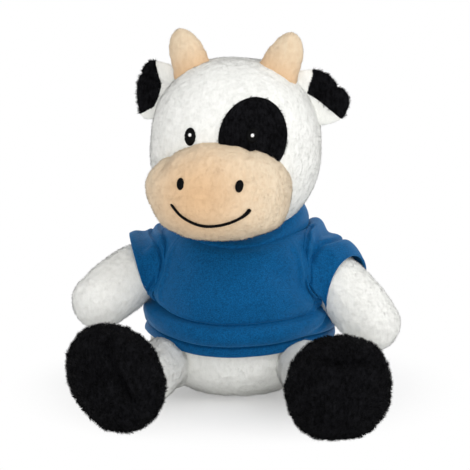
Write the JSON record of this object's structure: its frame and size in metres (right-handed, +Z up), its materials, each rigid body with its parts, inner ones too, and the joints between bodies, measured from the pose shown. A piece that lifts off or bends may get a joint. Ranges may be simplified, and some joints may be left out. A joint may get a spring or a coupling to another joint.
{
  "type": "plush cow",
  "caption": "Seated plush cow with stuffed head, arms and legs, soft horns and ears, black feet and a short-sleeved blue pullover.",
  "frame": {"origin": "middle of the flat seat that the cow sits on", "axes": "+Z up, the cow faces -Y, its own left side is +X"},
  "size_m": [0.1549, 0.1843, 0.1731],
  "materials": {
    "white_plush": "short off-white plush pile, about 2 mm, brushed, matt",
    "tan_plush": "short peach-tan plush pile, slightly sheared, matt",
    "black_plush": "longer tufted black pile, matt with a faint sheen",
    "blue_jersey": "brushed knit jersey, matt, mid blue, stitched hems",
    "fibre_fill": "loose white polyester fibre, hidden inside the covers",
    "pouch_cloth": "plain woven pouch filled with plastic beads, hidden in the seat",
    "black_thread": "satin-stitch embroidery, slightly glossy",
    "white_thread": "satin-stitch embroidery, slightly glossy"
  },
  "bodies": {
    "torso": {"torso_cover": "white_plush", "torso_stuffing": "fibre_fill", "bead_bag": "pouch_cloth", "shirt_front": "blue_jersey", "shirt_back": "blue_jersey"},
    "head": {"shirt_collar": "blue_jersey", "head_cover": "white_plush", "head_stuffing": "fibre_fill", "muzzle_cover": "tan_plush", "muzzle_stuffing": "fibre_fill", "eye_patch": "black_plush", "eye_left": "black_thread", "eye_right": "black_thread", "glint_left": "white_thread", "glint_right": "white_thread", "nostril_left": "black_thread", "nostril_right": "black_thread", "mouth_stitch": "black_thread", "horn_left": "tan_plush", "horn_right": "tan_plush"},
    "ear_left": {"ear_left": "white_plush", "ear_tip_left": "black_plush"},
    "arm_left": {"arm_cover_left": "white_plush", "arm_stuffing_left": "fibre_fill", "sleeve_left": "blue_jersey"},
    "leg_left": {"leg_cover_left": "white_plush", "leg_stuffing_left": "fibre_fill", "hoof_left": "black_plush", "sole_left": "black_plush"},
    "ear_right": {"ear_right": "white_plush", "ear_tip_right": "black_plush"},
    "arm_right": {"arm_cover_right": "white_plush", "arm_stuffing_right": "fibre_fill", "sleeve_right": "blue_jersey"},
    "leg_right": {"leg_cover_right": "white_plush", "leg_stuffing_right": "fibre_fill", "hoof_right": "black_plush", "sole_right": "black_plush"},
    "tail": {"tail": "white_plush", "tail_tuft": "black_plush"}
  },
  "joints": [
    {"name": "head_turn", "type": "hinge", "parent": "torso", "child": "head", "pos_m": [0, -0.002, 0.068], "axis": [0, 0, 1], "range_deg": [-20, 30], "stiffness_Nm_per_rad": 0.1},
    {"name": "ear_left_fold", "type": "hinge", "parent": "head", "child": "ear_left", "pos_m": [0.03599, -0.00972, 0.13998], "axis": [-0.1715, 0.0272, 0.9848], "range_deg": [-20, 20], "stiffness_Nm_per_rad": 0.005},
    {"name": "ear_right_fold", "type": "hinge", "parent": "head", "child": "ear_right", "pos_m": [-0.03156, 0.00097, 0.14237], "axis": [0.2389, -0.0378, 0.9703], "range_deg": [-20, 20], "stiffness_Nm_per_rad": 0.005},
    {"name": "arm_left_raise", "type": "hinge", "parent": "torso", "child": "arm_left", "pos_m": [0.039, -0.002, 0.064], "axis": [-0.5736, -0.8192, 0], "range_deg": [0, 35], "stiffness_Nm_per_rad": 0.06},
    {"name": "arm_right_raise", "type": "hinge", "parent": "torso", "child": "arm_right", "pos_m": [-0.039, -0.002, 0.064], "axis": [-0.7314, 0.682, 0], "range_deg": [0, 35], "stiffness_Nm_per_rad": 0.06},
    {"name": "leg_left_splay", "type": "hinge", "parent": "torso", "child": "leg_left", "pos_m": [0.025, -0.023, 0.0115], "axis": [0, 0, 1], "range_deg": [-6, 10], "stiffness_Nm_per_rad": 0.1},
    {"name": "leg_right_splay", "type": "hinge", "parent": "torso", "child": "leg_right", "pos_m": [-0.025, -0.023, 0.0115], "axis": [0, 0, -1], "range_deg": [-6, 10], "stiffness_Nm_per_rad": 0.1},
    {"name": "tail_swing", "type": "hinge", "parent": "torso", "child": "tail", "pos_m": [0, 0.0418, 0.017], "axis": [0, 0, 1], "range_deg": [-25, 25], "stiffness_Nm_per_rad": 0.003}
  ]
}
